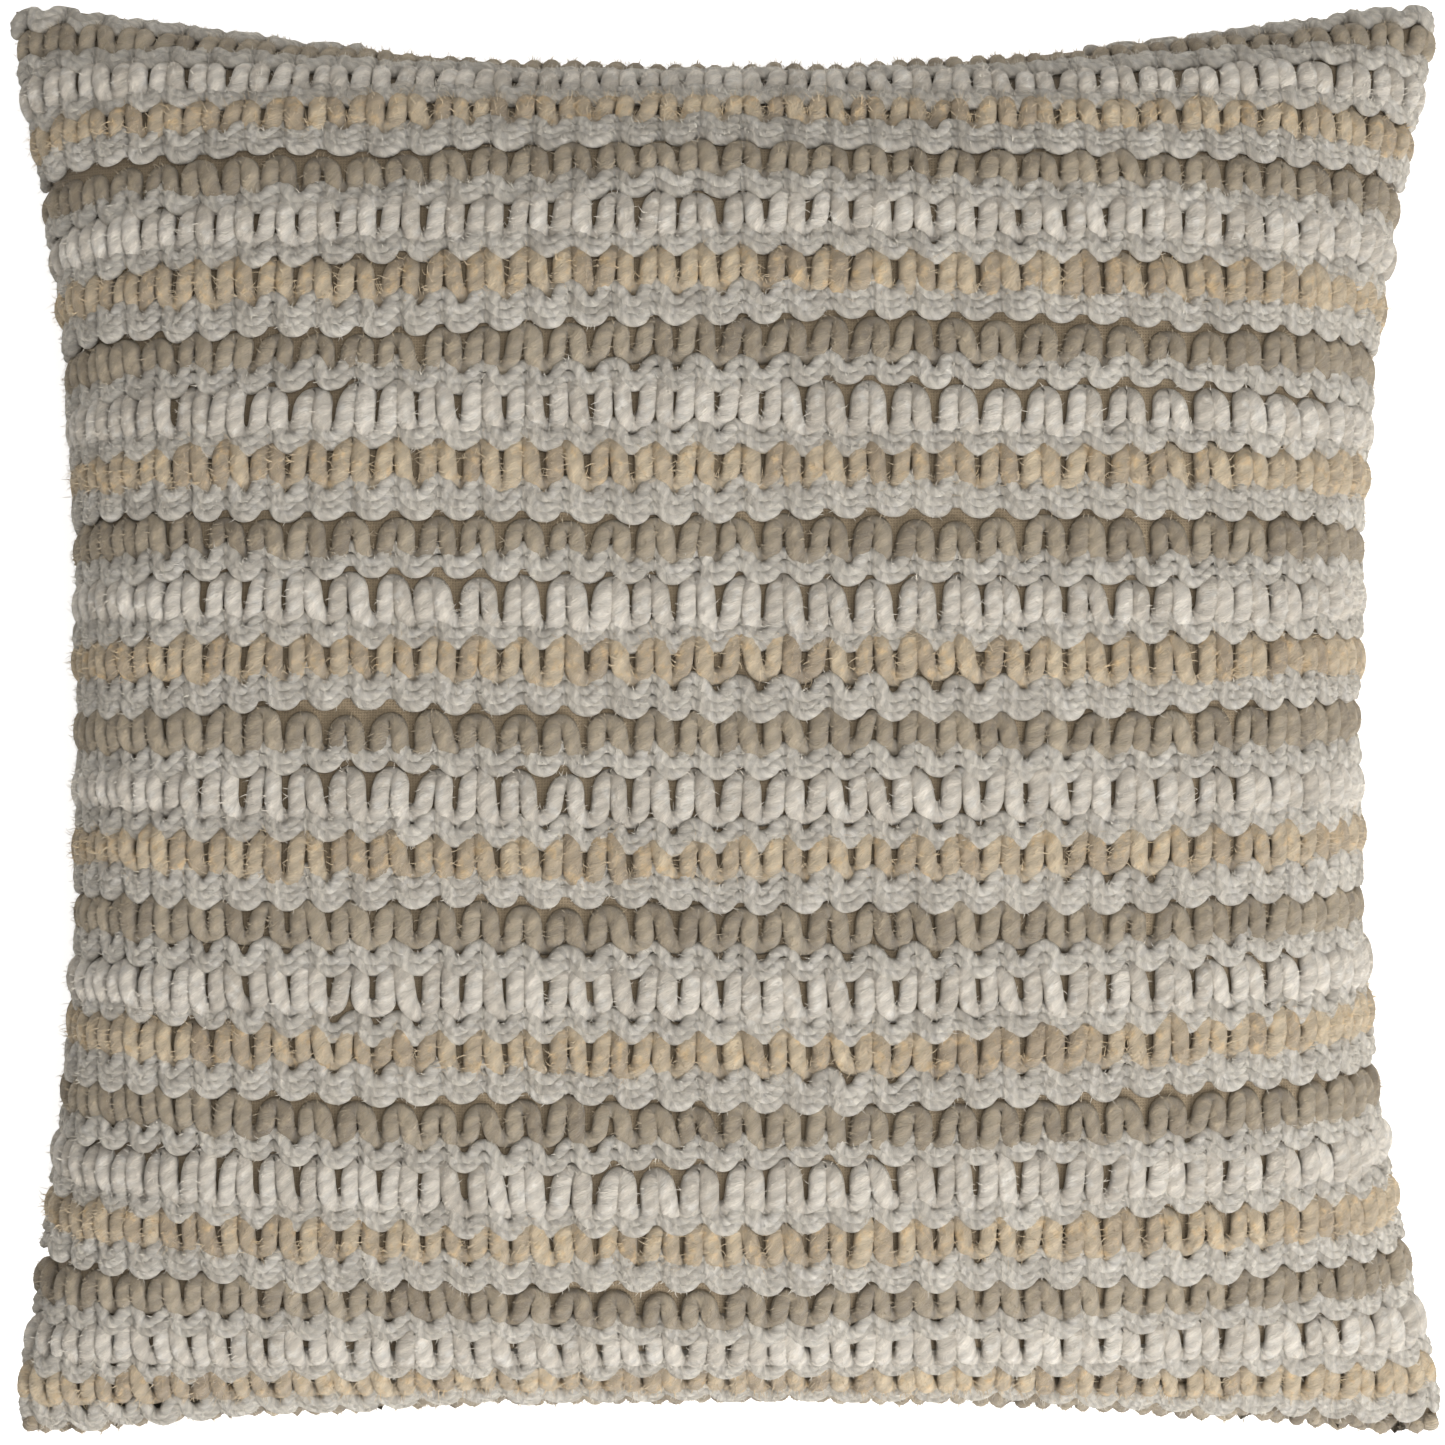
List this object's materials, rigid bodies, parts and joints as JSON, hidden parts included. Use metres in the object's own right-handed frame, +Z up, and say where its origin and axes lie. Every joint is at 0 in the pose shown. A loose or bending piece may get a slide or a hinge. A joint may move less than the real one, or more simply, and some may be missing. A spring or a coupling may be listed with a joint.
{
  "type": "throw pillow",
  "caption": "Square throw pillow: a filled cover with raised woven rows on its front, a plain back, a hidden zip in the bottom seam and a separate insert.",
  "frame": {"origin": "on the floor, under the middle of the pillow's outline; the pillow lies on its back", "axes": "+Z up, out of the woven face; +Y to the top edge of the woven face; +X to its right edge"},
  "size_m": [0.5, 0.5, 0.152],
  "materials": {
    "ivory_yarn": "matt wool-like yarn",
    "jute_yarn": "matt jute-like yarn",
    "khaki_yarn": "matt wool-like yarn",
    "grey_yarn": "matt cotton-like yarn",
    "ground_cloth": "plain woven cotton",
    "back_cloth": "plain woven cotton",
    "thread": "polyester thread",
    "label": "satin ribbon, blank",
    "zip_tape": "woven polyester tape",
    "zip_coil": "nylon coil",
    "zip_metal": "antique brass plating",
    "ticking": "white cotton ticking",
    "fibre": "white polyester fibre"
  },
  "bodies": {
    "pillow": {"weft_ivory_1": "ivory_yarn", "weft_ivory_2": "ivory_yarn", "weft_ivory_3": "ivory_yarn", "weft_ivory_4": "ivory_yarn", "weft_ivory_5": "ivory_yarn", "weft_ivory_6": "ivory_yarn", "weft_ivory_7": "ivory_yarn", "weft_ivory_8": "ivory_yarn", "weft_jute_1": "jute_yarn", "weft_jute_2": "jute_yarn", "weft_jute_3": "jute_yarn", "weft_jute_4": "jute_yarn", "weft_jute_5": "jute_yarn", "weft_jute_6": "jute_yarn", "weft_jute_7": "jute_yarn", "weft_jute_8": "jute_yarn", "weft_khaki_1": "khaki_yarn", "weft_khaki_2": "khaki_yarn", "weft_khaki_3": "khaki_yarn", "weft_khaki_4": "khaki_yarn", "weft_khaki_5": "khaki_yarn", "weft_khaki_6": "khaki_yarn", "weft_khaki_7": "khaki_yarn", "weft_khaki_8": "khaki_yarn", "weft_khaki_9": "khaki_yarn", "chain_rows_1": "grey_yarn", "chain_rows_2": "grey_yarn", "chain_rows_3": "grey_yarn", "chain_rows_4": "grey_yarn", "chain_rows_5": "grey_yarn", "chain_rows_6": "grey_yarn", "chain_rows_7": "grey_yarn", "chain_rows_8": "grey_yarn", "front_ground_cloth": "ground_cloth", "back_panel": "back_cloth", "seam_overlock": "thread", "care_label": "label", "zip_tape_front": "zip_tape", "zip_tape_back": "zip_tape", "zip_coil_front": "zip_coil", "zip_coil_back": "zip_coil", "zip_hem_front": "ground_cloth", "zip_hem_back": "back_cloth", "zip_stitching": "thread", "zip_top_stops": "zip_metal", "zip_bottom_stop": "zip_metal", "insert_ticking_front": "ticking", "insert_ticking_back": "ticking", "insert_filling": "fibre", "insert_closing_stitches": "thread", "insert_label": "label"},
    "slider": {"zip_slider": "zip_metal"},
    "pull": {"zip_pull": "zip_metal"}
  },
  "joints": [
    {"name": "slider_travel", "type": "hinge", "parent": "pillow", "child": "slider", "pos_m": [0, -2.84817, 0.072], "axis": [0, 0, 1], "range_deg": [0, 7.16]},
    {"name": "pull_swing", "type": "hinge", "parent": "slider", "child": "pull", "pos_m": [0.16306, -0.24049, 0.072], "axis": [0, 0, 1], "range_deg": [0, 150]}
  ]
}
